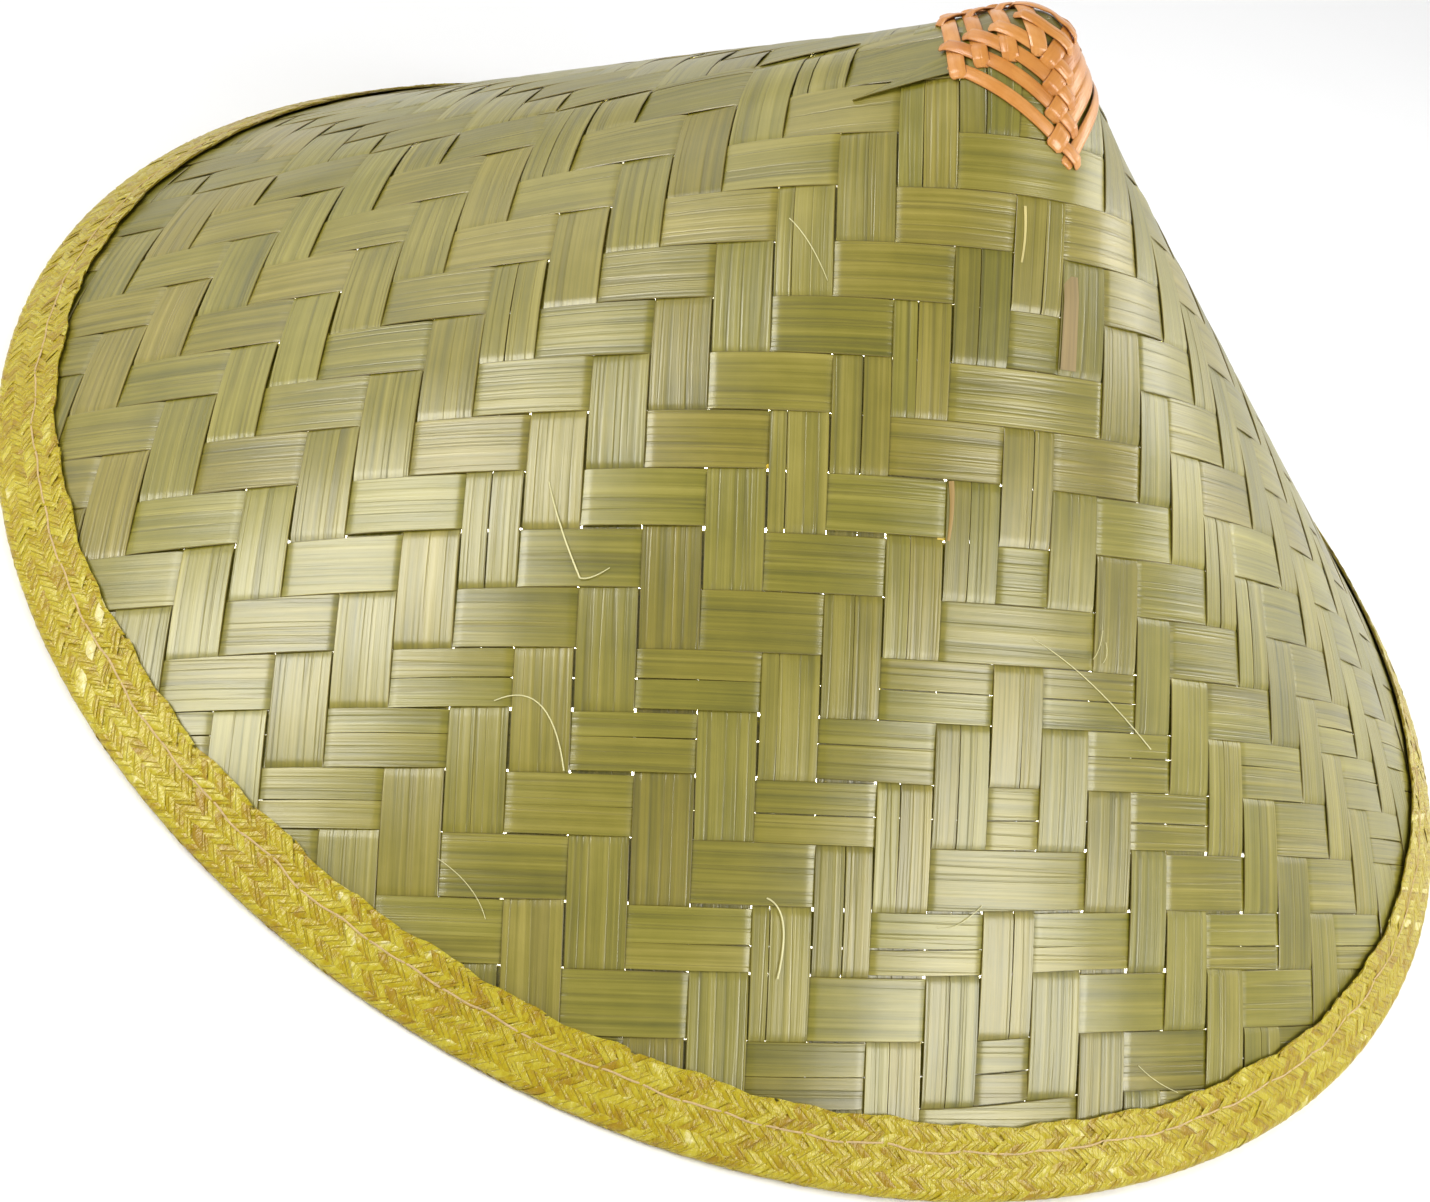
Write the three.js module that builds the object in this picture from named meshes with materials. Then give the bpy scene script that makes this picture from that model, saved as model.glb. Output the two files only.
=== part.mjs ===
// A conical hat woven from broad bamboo slips, bound at the brim with a folded braid of straw
// and finished at the apex with a patch of narrow interlaced strips.
// Millimetres, +Z up. The origin is the centre of the brim, on the plane that the hat rests on.

import * as THREE from "three";
import { mergeVertices } from "three/addons/utils/BufferGeometryUtils.js";

// Driving sizes of the woven cone
const slipPitch = 13.3;
const edgeRadius = 197.3;
const sheetShare = 0.75; // the flat sheet is three quarters of a disc, which sets the slope
const crownWall = 1.8;

// The nose is blunt and leans a little, as it left the weaver's hands
const noseBulge = 0.586;
const noseReach = 10.4;
const noseLean = new THREE.Vector3(2.3, 0.8, -1.6);
const leanReach = 53;

// The folded braid round the edge
const foldGap = 0.3;
const braidThickness = 1.2;
const braidFlap = 14.8;
const restFlat = 0.35; // how much the fold is flattened where it rests

// The patch at the apex: four bands of parallel strips, numbered inwards from the outermost
const stripWidth = 2.9;
const stripThickness = 0.5;
const stripGap = 0.3;
const firstStripDistance = 1.67 * slipPitch;
const stripStep = 0.34 * slipPitch;
const tuckLength = 0.7;
const patchTurn = THREE.MathUtils.degToRad(3);
const patchShift = new THREE.Vector2(2.2, -0.6);
const bands = [
  { name: "front", quarterTurns: 0, strips: 5, endsOnTop: false },
  { name: "right", quarterTurns: 1, strips: 5, endsOnTop: true },
  { name: "back", quarterTurns: 2, strips: 4, endsOnTop: false },
  { name: "left", quarterTurns: 3, strips: 5, endsOnTop: true },
];

// How finely the round shapes are divided
const turnSteps = 72;
const crownSteps = 12;
const foldSteps = 8;
const stripSteps = 20;
const climbStart = 0.6; // shares of a strip's stations, from its middle to its end
const climbEnd = 0.8;

// Worked out from the sizes above
const slopeSin = sheetShare;
const slopeCos = Math.sqrt(1 - slopeSin ** 2);
const edgeSlant = edgeRadius / slopeSin;
const foldOuter = crownWall / 2 + foldGap + braidThickness;
const foldInner = crownWall / 2 + foldGap;
const edgeHeight = foldOuter - restFlat;
const apexHeight = edgeHeight + edgeSlant * slopeCos;
const quarterInSheet = (Math.PI / 2) * slopeSin;

// A point of the cone's profile: the slant distance from the apex, lifted off the middle of the wall
function crownProfile(slant, lift) {
  const offset = noseBulge * slant * Math.exp(-slant / noseReach) + lift;
  return new THREE.Vector2(
    slant * slopeSin + offset * slopeCos,
    apexHeight - slant * slopeCos + offset * slopeSin,
  );
}

// A closed solid has each corner once and no collapsed triangle
function weld(geometry) {
  geometry.deleteAttribute("normal");
  geometry.deleteAttribute("uv");
  const merged = mergeVertices(geometry, 1e-3);
  const corners = merged.index.array;
  const kept = [];
  for (let i = 0; i < corners.length; i += 3) {
    const [a, b, c] = [corners[i], corners[i + 1], corners[i + 2]];
    if (a !== b && b !== c && c !== a) kept.push(a, b, c);
  }
  merged.setIndex(kept);
  merged.computeVertexNormals();
  return merged;
}

// Moves every point of a piece near the apex with the lean of the nose, which fades down the slope
function leanWithNose(geometry) {
  const points = geometry.attributes.position;
  const point = new THREE.Vector3();
  for (let i = 0; i < points.count; i += 1) {
    point.fromBufferAttribute(points, i);
    const slant = Math.hypot(point.x, point.y) / slopeSin;
    point.addScaledVector(noseLean, Math.exp(-slant / leanReach));
    points.setXYZ(i, point.x, point.y, point.z);
  }
  return geometry;
}

function turned(profile) {
  const geometry = new THREE.LatheGeometry(profile, turnSteps);
  geometry.rotateX(Math.PI / 2);
  return weld(geometry);
}

// The crown is one thin conical shell, open below, with stations that crowd towards the nose
function crownGeometry() {
  const outside = [];
  const inside = [];
  for (let i = 0; i <= crownSteps; i += 1) {
    const slant = edgeSlant * (i / crownSteps) ** 2;
    outside.push(crownProfile(slant, crownWall / 2));
    if (i > 0) inside.push(crownProfile(slant, -crownWall / 2));
  }
  const outerTip = new THREE.Vector2(0, outside[0].y);
  const innerTip = new THREE.Vector2(0, inside[0].y);
  return leanWithNose(turned([innerTip, ...inside, ...outside.reverse(), outerTip]));
}

// The binding's section, up the slope from the crown's cut edge and off the middle of its wall
function foldPoint(upSlope, lift) {
  const radius = edgeRadius - upSlope * slopeSin + lift * slopeCos;
  const height = edgeHeight + upSlope * slopeCos + lift * slopeSin;
  return new THREE.Vector2(radius, Math.max(height, 0));
}

function foldArc(radius) {
  const arc = [];
  for (let i = 0; i <= foldSteps; i += 1) {
    const turn = (Math.PI * i) / foldSteps;
    arc.push(foldPoint(-radius * Math.sin(turn), radius * Math.cos(turn)));
  }
  return arc;
}

function bindingGeometry() {
  const outerArc = foldArc(foldOuter);
  const innerArc = foldArc(foldInner);
  const profile = [
    foldPoint(braidFlap, foldInner),
    ...innerArc,
    foldPoint(braidFlap, -foldInner),
    foldPoint(braidFlap, -foldOuter),
    ...outerArc.reverse(),
    foldPoint(braidFlap, foldOuter),
    foldPoint(braidFlap, foldInner),
  ];
  return turned(profile);
}

function stripDistance(number) {
  return firstStripDistance - stripStep * (number - 1);
}

// Where a strip climbs from the lower layer to the upper one, and where it ends, measured across
// the band that it meets at the corner. Strips that end on top meet their own number there and
// climb over it. The others pass under their own number and climb over the next one outwards.
function crossing(band, number) {
  const climbsAfter = band.endsOnTop ? number + 1 : number;
  const clear = stripWidth / 2 + stripGap / 2;
  const lastCrossed = band.endsOnTop ? number : Math.max(number - 1, 1);
  return {
    low: stripDistance(climbsAfter) + clear,
    high: stripDistance(climbsAfter - 1) - clear,
    end: stripDistance(lastCrossed) + stripWidth / 2 + tuckLength,
  };
}

// How far along a strip a station lies, so that stations fall on the foot and the head of its
// climb. A strip that has no climb is divided evenly.
function stationAlong(share, across, { low, high, end }) {
  const reachTo = (crossed) => {
    const reach = (crossed - across * Math.cos(quarterInSheet)) / Math.sin(quarterInSheet);
    return Math.max(reach, 0);
  };
  if (low >= end) return share * reachTo(end);
  const { mapLinear } = THREE.MathUtils;
  if (share <= climbStart) return mapLinear(share, 0, climbStart, 0, reachTo(low));
  if (share <= climbEnd) return mapLinear(share, climbStart, climbEnd, reachTo(low), reachTo(high));
  return mapLinear(share, climbEnd, 1, reachTo(high), reachTo(end));
}

// A strip is a long box laid on the cone along a straight line of the unrolled sheet
function stripGeometry(band, number) {
  const distance = stripDistance(number);
  const levels = crossing(band, number);
  const geometry = new THREE.BoxGeometry(2, stripWidth, stripThickness, stripSteps, 2, 1);
  const foot = patchTurn + (band.quarterTurns * Math.PI) / 2;
  const points = geometry.attributes.position;
  for (let i = 0; i < points.count; i += 1) {
    const across = distance - points.getY(i);
    const share = Math.abs(points.getX(i));
    const along = Math.sign(points.getX(i)) * stationAlong(share, across, levels);
    const crossed = Math.abs(along) * Math.sin(quarterInSheet) + across * Math.cos(quarterInSheet);
    const climbed = THREE.MathUtils.smoothstep(crossed, levels.low, levels.high);
    const bottomLift = crownWall / 2 + stripGap + climbed * (stripThickness + stripGap);
    const lift = bottomLift + stripThickness / 2 + points.getZ(i);
    const turn = Math.atan2(along, across) / slopeSin + foot;
    const reach = Math.hypot(along, across) * slopeSin;
    const x = reach * Math.sin(turn) + patchShift.x;
    const y = -reach * Math.cos(turn) + patchShift.y;
    const radius = Math.hypot(x, y);
    const profile = crownProfile(radius / slopeSin, lift);
    points.setXYZ(i, (x / radius) * profile.x, (y / radius) * profile.x, profile.y);
  }
  return leanWithNose(weld(geometry));
}

const bambooGreen = new THREE.MeshStandardMaterial({ color: 0xa5a05f, roughness: 0.45, metalness: 0 });
const strawYellow = new THREE.MeshStandardMaterial({ color: 0xcdb93c, roughness: 0.6, metalness: 0 });
const stripOrange = new THREE.MeshStandardMaterial({ color: 0xd78c50, roughness: 0.35, metalness: 0 });

function piece(name, geometry, material) {
  const mesh = new THREE.Mesh(geometry, material);
  mesh.name = name;
  return mesh;
}

const hat = new THREE.Group();
hat.add(piece("woven_crown", crownGeometry(), bambooGreen));
hat.add(piece("edge_binding", bindingGeometry(), strawYellow));
for (const band of bands) {
  for (let number = 1; number <= band.strips; number += 1) {
    hat.add(piece(`apex_strip_${band.name}_${number}`, stripGeometry(band, number), stripOrange));
  }
}

export default hat;
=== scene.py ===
# Looks of a conical hat: broad green bamboo slips in a 2/2 twill, a braided straw tape folded over the brim,
# and a patch of narrow orange strips woven over the apex. Blender 4.5, metres.

import bpy
import numpy as np
from mathutils import Matrix, Vector


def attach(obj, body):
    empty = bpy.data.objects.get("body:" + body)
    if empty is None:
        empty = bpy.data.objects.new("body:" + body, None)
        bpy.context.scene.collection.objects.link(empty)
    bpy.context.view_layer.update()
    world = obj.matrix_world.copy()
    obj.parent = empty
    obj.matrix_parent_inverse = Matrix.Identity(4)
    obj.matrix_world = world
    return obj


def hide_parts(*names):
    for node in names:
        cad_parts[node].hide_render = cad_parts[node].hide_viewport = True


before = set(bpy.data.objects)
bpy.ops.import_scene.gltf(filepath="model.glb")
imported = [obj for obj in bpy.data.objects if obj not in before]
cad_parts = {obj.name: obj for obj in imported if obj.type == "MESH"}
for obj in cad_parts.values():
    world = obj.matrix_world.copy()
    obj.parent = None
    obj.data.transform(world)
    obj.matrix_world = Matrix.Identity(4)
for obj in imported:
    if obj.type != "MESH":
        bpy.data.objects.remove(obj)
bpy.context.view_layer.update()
print("frame loaded")


# camera: fitted to the slips of the weave, for an image of 1430 x 1202 pixels
cameraFit = {
    "apex": (0.0, 0.0, 0.17605),  # tip of the ideal cone, which the fit is measured from
    "lookDown": 0.684,            # radians below the horizon
    "roll": -0.474,               # the photographer's frame is turned against the hat
    "distance": 0.60563,
    "right": -0.00471,
    "up": -0.15191,
    "focalPixels": 2692.414,
    "imagePixels": (1430, 1202),
    "sensor": 36.0,
}


def makeCamera(fit):
    down, roll = fit["lookDown"], fit["roll"]
    right = Vector((1, 0, 0))
    up = Vector((0, np.sin(down), np.cos(down)))
    forward = Vector((0, np.cos(down), -np.sin(down)))
    place = Vector(fit["apex"]) + right * fit["right"] + up * fit["up"] - forward * fit["distance"]
    across = right * np.cos(roll) - up * np.sin(roll)
    upward = right * np.sin(roll) + up * np.cos(roll)
    data = bpy.data.cameras.new("camera")
    data.sensor_width = fit["sensor"]
    data.lens = fit["focalPixels"] / fit["imagePixels"][0] * fit["sensor"]
    data.clip_start = 0.01
    camera = bpy.data.objects.new("camera", data)
    bpy.context.scene.collection.objects.link(camera)
    turn = Matrix((across, upward, -forward)).transposed()
    camera.matrix_world = Matrix.Translation(place) @ turn.to_4x4()
    bpy.context.scene.camera = camera


makeCamera(cameraFit)
print("camera placed")


# the cone, in the same sizes as the solids
cone = {
    "pitch": 0.0133,          # from one slip to the next
    "edgeRadius": 0.1973,
    "slopeSine": 0.75,        # the sheet that the cone unrolls to is three quarters of a disc
    "noseBulge": 0.586,
    "noseReach": 0.0104,
    "noseLean": (0.0023, 0.0008, -0.0016),
    "leanReach": 0.053,
    "frontTurn": 0.58,        # radians from the camera's side to the middle of the twill
}
pitch = cone["pitch"]
slopeSine = cone["slopeSine"]
slopeCosine = np.sqrt(1 - slopeSine ** 2)
apexHeight = cameraFit["apex"][2]


def onProfile(x, y, slant, lift):
    # point = unit vector (x, y) * (slant * sine + offset * cosine),
    # height = apex - slant * cosine + offset * sine, where offset = lift + the nose's bulge,
    # then both are moved by the nose's lean, which fades down the slope
    offset = cone["noseBulge"] * slant * np.exp(-slant / cone["noseReach"]) + lift
    radius = slant * slopeSine + offset * slopeCosine
    height = apexHeight - slant * slopeCosine + offset * slopeSine
    fade = np.exp(-np.abs(radius) / slopeSine / cone["leanReach"])[..., None]
    point = np.stack([x * radius, y * radius, height], axis=-1)
    return point + fade * np.array(cone["noseLean"])


def onSheet(u, v, lift):
    # (u, v) is a place on the unrolled sheet in pitches, v down the front of it: turn = atan2(u, v) / sine
    turn = np.arctan2(u, v) / slopeSine + cone["frontTurn"]
    return onProfile(np.sin(turn), -np.cos(turn), np.hypot(u, v) * pitch, lift)


# ribbons: every slip, straw and strip is one closed flat section carried along a path.
# A section has places across it from -1 to 1, and how much of the full thickness it has there
slipSection = ((-1.0, -0.975, 0.975, 1.0), (0.35, 1.0, 1.0, 0.35))
strawSection = ((-1.0, -0.85, 0.85, 1.0), (0.1, 1.0, 1.0, 0.1))
threadSection = ((-1.0, 0.0, 1.0), (0.3, 1.0, 0.3))
stripSection = ((-1.0, -0.92, -0.5, 0.0, 0.5, 0.92, 1.0), (0.15, 0.85, 1.0, 1.0, 1.0, 0.85, 0.15))


def ribbon(along, low, high, lift, thickness, place, section=slipSection, tone=0.5, trim=None,
           crown=0.0, tilt=0.0):
    # point(t, w) = place(t, middle(t) + w * half width(t), rise + or - half the thickness * section(w)),
    # where rise = lift(t) + crown * (1 - w^2) + tilt * w
    sectionAcross, sectionTop = (np.array(values) for values in section)
    count = len(along)
    middle = ((low + high) / 2)[:, None]
    half = ((high - low) / 2)[:, None]
    across = middle + sectionAcross * half
    t = along[:, None] + 0 * across
    if trim is not None:
        t = trim(t, across)
    rise = lift[:, None] + crown * (1 - sectionAcross ** 2) + tilt * sectionAcross
    thick = np.broadcast_to(np.asarray(thickness, float), (count,))[:, None] / 2 * sectionTop
    top = place(t, across, rise + thick)
    bottom = place(t, across, rise - thick)[:, ::-1]
    points = np.concatenate([top, bottom], axis=1)
    sides = len(sectionAcross)
    ring = 2 * sides
    i, c = np.meshgrid(np.arange(count - 1), np.arange(ring), indexing="ij")
    after = (c + 1) % ring
    quads = np.stack([i * ring + c, i * ring + after, (i + 1) * ring + after, (i + 1) * ring + c], axis=-1)
    c = np.arange(sides - 1)
    start = np.stack([c, ring - 1 - c, ring - 2 - c, c + 1], axis=-1)
    end = start[:, ::-1] + (count - 1) * ring
    flank = np.tile(np.concatenate([np.abs(sectionAcross) == 1] * 2).astype(float), count)
    aside = np.tile(np.concatenate([sectionAcross, sectionAcross[::-1]]), count)
    spread = np.concatenate([across, across[:, ::-1]], axis=1)
    length = np.concatenate([t, t[:, ::-1]], axis=1)
    return {
        "points": points.reshape(-1, 3),
        "quads": np.concatenate([quads.reshape(-1, 4), start, end]),
        "along": length.reshape(-1),
        "across": spread.reshape(-1),
        "flank": flank,
        "aside": aside,
        "tone": np.full(count * ring, tone),
    }


def joined(parts):
    offsets = np.cumsum([0] + [len(part["points"]) for part in parts[:-1]])
    whole = {key: np.concatenate([part[key] for part in parts]) for key in parts[0] if key != "quads"}
    whole["quads"] = np.concatenate([part["quads"] + offset for part, offset in zip(parts, offsets)])
    return whole


sharpAngle = np.radians(35)  # edges that bend more than this are shaded sharp


def makePiece(name, parts, material, stretch=1.0, sharp=True):
    whole = joined(parts)
    mesh = bpy.data.meshes.new(name)
    mesh.from_pydata(whole["points"], [], whole["quads"])
    corners = np.zeros(len(mesh.loops), int)
    mesh.loops.foreach_get("vertex_index", corners)
    uvMap = mesh.uv_layers.new(name="lay")
    uv = np.stack([whole["along"], whole["across"]], axis=-1) * stretch
    uvMap.data.foreach_set("uv", uv[corners].astype(np.float32).ravel())
    for key in ("tone", "flank", "aside"):
        layer = mesh.attributes.new(key, "FLOAT", "POINT")
        layer.data.foreach_set("value", whole[key].astype(np.float32))
    mesh.materials.append(material)
    mesh.shade_smooth()
    if sharp:
        mesh.set_sharp_from_angle(angle=sharpAngle)
    mesh.update()
    piece = bpy.data.objects.new(name, mesh)
    bpy.context.scene.collection.objects.link(piece)
    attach(piece, "root")
    print(name, len(mesh.polygons) * 2, "triangles")
    return piece


# material helpers
def newMaterial(name):
    material = bpy.data.materials.new(name)
    material.use_nodes = True
    nodes = material.node_tree.nodes
    nodes.clear()
    output = nodes.new("ShaderNodeOutputMaterial")
    shader = nodes.new("ShaderNodeBsdfPrincipled")
    material.node_tree.links.new(shader.outputs["BSDF"], output.inputs["Surface"])
    return material, shader


def addNode(tree, kind, inputs=None, **settings):
    # a node with its settings, its fixed inputs, and its links where an input is given as a socket
    node = tree.nodes.new(kind)
    for key, value in settings.items():
        setattr(node, key, value)
    for key, value in (inputs or {}).items():
        if isinstance(value, bpy.types.NodeSocket):
            tree.links.new(value, node.inputs[key])
        else:
            node.inputs[key].default_value = value
    return node


def calculate(tree, operation, *values):
    return addNode(tree, "ShaderNodeMath", dict(enumerate(values)), operation=operation).outputs[0]


def readAttribute(tree, name):
    return addNode(tree, "ShaderNodeAttribute", attribute_name=name).outputs["Fac"]


def mixColour(tree, factor, first, second, **settings):
    inputs = {"Factor": factor, "A": first, "B": second}
    return addNode(tree, "ShaderNodeMix", inputs, data_type="RGBA", **settings).outputs["Result"]


def addRamp(tree, factor, stops):
    ramp = addNode(tree, "ShaderNodeValToRGB", {"Fac": factor})
    elements = ramp.color_ramp.elements
    while len(elements) < len(stops):
        elements.new(0.5)
    for element, (position, colour) in zip(elements, stops):
        element.position = position
        element.color = (*colour, 1)
    return ramp.outputs["Color"]


def weighed(tree, masks):
    # the sum of each mask times its share
    total = 0.0
    for mask, share in masks:
        total = calculate(tree, "MULTIPLY_ADD", mask, share, total)
    return total


def variedTone(tree, tone, masks):
    # the tone plus share * (mask - 0.5) for each mask
    for mask, share in masks:
        tone = calculate(tree, "ADD", tone, calculate(tree, "MULTIPLY_ADD", mask, share, -share / 2))
    return tone


def linkBump(tree, shader, height, distance, strength):
    bump = addNode(tree, "ShaderNodeBump", {"Height": height, "Distance": distance, "Strength": strength})
    tree.links.new(bump.outputs["Normal"], shader.inputs["Normal"])


# the fibres' scales where a material gives none of its own
plainFibres = {
    "Streak Scale": 400.0,
    "Line Scale": 300.0,
    "Ridge Scale": 700.0,
    "Mottle Scale": 60.0,
    "Stretch": 0.03,          # how slowly the fibres change along the ribbon
}


def fibreGroup():
    # long fibres that run with the ribbon: streaks of tone, thin dark lines, fine ridges and slow mottling
    tree = bpy.data.node_groups.new("fibres", "ShaderNodeTree")
    socket = tree.interface.new_socket
    for name, value in plainFibres.items():
        socket(name, in_out="INPUT", socket_type="NodeSocketFloat").default_value = value
    for name in ("Streaks", "Lines", "Ridges", "Mottle"):
        socket(name, in_out="OUTPUT", socket_type="NodeSocketFloat")
    given = tree.nodes.new("NodeGroupInput").outputs
    result = tree.nodes.new("NodeGroupOutput").inputs
    lay = addNode(tree, "ShaderNodeUVMap", uv_map="lay").outputs["UV"]
    parts = addNode(tree, "ShaderNodeSeparateXYZ", {"Vector": lay})
    # each ribbon cuts the noise at a depth of its own, which its tone sets
    depth = calculate(tree, "MULTIPLY", readAttribute(tree, "tone"), 37.0)

    def noise(scale, detail, stretch=None):
        along = parts.outputs["X"]
        if stretch is not None:
            along = calculate(tree, "MULTIPLY", along, stretch)
        place = addNode(tree, "ShaderNodeCombineXYZ", {"X": along, "Y": parts.outputs["Y"], "Z": depth})
        inputs = {"Vector": place.outputs[0], "Scale": scale, "Detail": detail, "Roughness": 0.6}
        return addNode(tree, "ShaderNodeTexNoise", inputs).outputs["Fac"]

    # a thin line runs wherever the noise passes through its middle value
    split = noise(given["Line Scale"], 2.0, given["Stretch"])
    apart = calculate(tree, "ABSOLUTE", calculate(tree, "SUBTRACT", split, 0.5))
    lines = addNode(tree, "ShaderNodeMapRange",
                    {"Value": apart, "From Min": 0.006, "From Max": 0.022, "To Min": 1.0, "To Max": 0.0})
    tree.links.new(noise(given["Streak Scale"], 5.0, given["Stretch"]), result["Streaks"])
    tree.links.new(lines.outputs["Result"], result["Lines"])
    tree.links.new(noise(given["Ridge Scale"], 3.0, given["Stretch"]), result["Ridges"])
    tree.links.new(noise(given["Mottle Scale"], 4.0), result["Mottle"])
    return tree


fibres = fibreGroup()


def fibreMasks(tree, scales):
    group = addNode(tree, "ShaderNodeGroup", scales, node_tree=fibres)
    return [group.outputs[key] for key in ("Streaks", "Lines", "Ridges", "Mottle")]


bambooLook = {
    # dark, middle and pale streaks, each with its place on the scale of tones
    "ramp": ((0.05, (0.070, 0.069, 0.002)), (0.5, (0.200, 0.172, 0.013)), (0.95, (0.345, 0.290, 0.052))),
    # from greener slips to browner ones
    "tints": ((0.05, (0.98, 1.01, 0.95)), (0.35, (1, 1, 1)), (0.65, (1, 1, 1)), (0.98, (1.02, 0.965, 0.98))),
    "line": (0.055, 0.045, 0.008),
    "lineShare": 0.25,
    # the slips' sides: partly the cut edge's own colour, partly painted shade that darkens the gaps between
    # slips
    "flank": (0.150, 0.110, 0.022),
    "toneShares": (0.8, 0.8, 0.5),       # of the streaks, the ridges and the mottling
    "heightShares": (0.5, 1.5, -0.35),   # of the ridges, the streaks and the lines
    "bump": (0.0003, 0.5),               # distance and strength
    "roughness": (0.30, 0.42),
    "specular": 0.6,
    "anisotropic": 0.35,
    "anisotropicTurn": 0.25,
    "fibres": {"Streak Scale": 400, "Line Scale": 210, "Ridge Scale": 1100, "Mottle Scale": 45,
               "Stretch": 0.012},
}


def bambooMaterial(look):
    material, shader = newMaterial("greenBamboo")
    tree = material.node_tree
    tone = readAttribute(tree, "tone")
    streaks, lines, ridges, mottle = fibreMasks(tree, look["fibres"])
    total = variedTone(tree, tone, zip((streaks, ridges, mottle), look["toneShares"]))
    colour = addRamp(tree, total, look["ramp"])
    chance = addNode(tree, "ShaderNodeTexWhiteNoise", {"W": tone}, noise_dimensions="1D").outputs["Value"]
    colour = mixColour(tree, 1.0, colour, addRamp(tree, chance, look["tints"]), blend_type="MULTIPLY")
    cut = calculate(tree, "MULTIPLY", lines, look["lineShare"])
    colour = mixColour(tree, cut, colour, (*look["line"], 1))
    # partly painted shade: each slip's sides take the darker flank colour, which deepens the gaps between
    # slips
    colour = mixColour(tree, readAttribute(tree, "flank"), colour, (*look["flank"], 1))
    tree.links.new(colour, shader.inputs["Base Color"])
    shader.inputs["Specular IOR Level"].default_value = look["specular"]
    smooth, rough = look["roughness"]
    gloss = addNode(tree, "ShaderNodeMapRange", {"Value": mottle, "To Min": smooth, "To Max": rough})
    tree.links.new(gloss.outputs["Result"], shader.inputs["Roughness"])
    height = weighed(tree, zip((ridges, streaks, lines), look["heightShares"]))
    linkBump(tree, shader, height, *look["bump"])
    shader.inputs["Anisotropic"].default_value = look["anisotropic"]
    shader.inputs["Anisotropic Rotation"].default_value = look["anisotropicTurn"]
    tangent = addNode(tree, "ShaderNodeTangent", direction_type="UV_MAP", uv_map="lay")
    tree.links.new(tangent.outputs["Tangent"], shader.inputs["Tangent"])
    return material


bamboo = bambooMaterial(bambooLook)
print("bamboo material made")


# the weave
weave = {
    "seed": 7,
    "edge": 19.72,          # pitches from the apex to the cut edge, under the binding
    "rows": 19,
    "columns": 19,
    "columnShift": 0.07,    # the middle of the ray of the twill, in pitches
    "firstRowEdge": 0.202,
    "rowPitch": 0.99,
    "fan": (0.85, 0.70),    # how far the first row drops back at the left and at the right
    "fanFade": 1.9,
    "fanReach": 4.0,
    "sag": (0.0042, 0.0013),    # how far the low rows and the left ends of the middle rows hang down
    # edges between columns that lie off the even pitch, and by how much
    "columnDrift": {4: -0.12, 5: -0.07, 6: -0.06, 8: 0.10, -14: 0.06, -13: 0.03},
    "lift": 0.00025,
    "thickness": 0.00040,
    "arch": 0.00025,        # how far a slip bows out between two climbs
    "turnover": 0.13,       # half the length of a climb, in pitches
    "rowGap": (0.002, 0.016),     # between neighbours, in pitches
    "columnGap": (0.010, 0.045),
    # row edges that gape, each with where it begins and ends, in pitches, and how wide it is
    "gapes": {8: (-5, -3, 0.035), 9: (-14, 0.6, 0.055), 12: (-10, -2.6, 0.050), 13: (-10, -2.6, 0.045),
              14: (0.4, 6.6, 0.045), 15: (-8, 6, 0.040), 16: (-5, 5, 0.045)},
    # slips that are split in two narrow ones, and where
    "splits": {
        "row": {11: 0.50, 12: 0.42, 13: 0.53, 15: 0.58, 17: 0.52},
        "right": {0: 0.60, 5: 0.45, 6: 0.48, 10: 0.50},
        "left": {1: 0.45, 2: 0.42, 3: 0.52, 4: 0.30, 9: 0.45},
    },
    "splitGap": 0.022,
    "wander": 0.008,        # how far a slip sways from its lane, in pitches
    "tones": (0.42, 0.58),
    "splitTone": 0.03,      # how far the two halves of a split slip may differ in tone
    "fillerTone": 0.48,
    "drawnIn": 0.6,         # how far in from the brim the stations are drawn in, in pitches
    "crown": 0.00003,       # a slip is a little higher along its middle
    "tilt": 0.00010,
    # short tapering slips beside the apex: where each begins and ends, and its edge towards the back
    "fillers": ((-9.8, -0.9, -0.59), (0.9, 9.8, -0.45)),
    "stations": (0.0, 0.05, 0.09, 0.13, 0.18, 0.5, 0.82, 0.87, 0.91, 0.95),
}
rng = np.random.default_rng(weave["seed"])


def rowEdge(n, u):
    # edges of the rows fan out towards the sides, where they close the gap to the slips of the back.
    # sag = a * max(n - 8, 0)^2 * (0.3 + 0.7 / (1 + exp(1.2 u - 0.6)))
    #       + b * exp(-((n - 10) / 3)^2) * min(u, 0)^2
    drop = np.where(u < 0, *weave["fan"]) * (1 - np.exp(-np.maximum(np.abs(u) - 2, 0) / weave["fanReach"]))
    lowSag, leftSag = weave["sag"]
    sag = lowSag * max(n - 8, 0) ** 2 * (0.3 + 0.7 / (1 + np.exp(1.2 * u - 0.6)))
    sag = sag + leftSag * np.exp(-((n - 10) / 3) ** 2) * np.minimum(u, 0) ** 2
    return weave["firstRowEdge"] + weave["rowPitch"] * n - drop * np.exp(-n / weave["fanFade"]) + sag


def gape(n, u):
    # width = widest * (1 / (1 + exp((first - u) * 3)) - 1 / (1 + exp((last - u) * 3)))
    first, last, widest = weave["gapes"].get(n, (0, 0, 0))
    opened = 1 / (1 + np.exp(np.clip((first - u) * 3, -30, 30)))
    closed = 1 / (1 + np.exp(np.clip((last - u) * 3, -30, 30)))
    return widest * (opened - closed)


def rowOver(n, m):
    return (n - m) % 4 in (1, 2)


def rightOver(m, j):
    return (m - j) % 4 in (0, 1)


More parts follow.
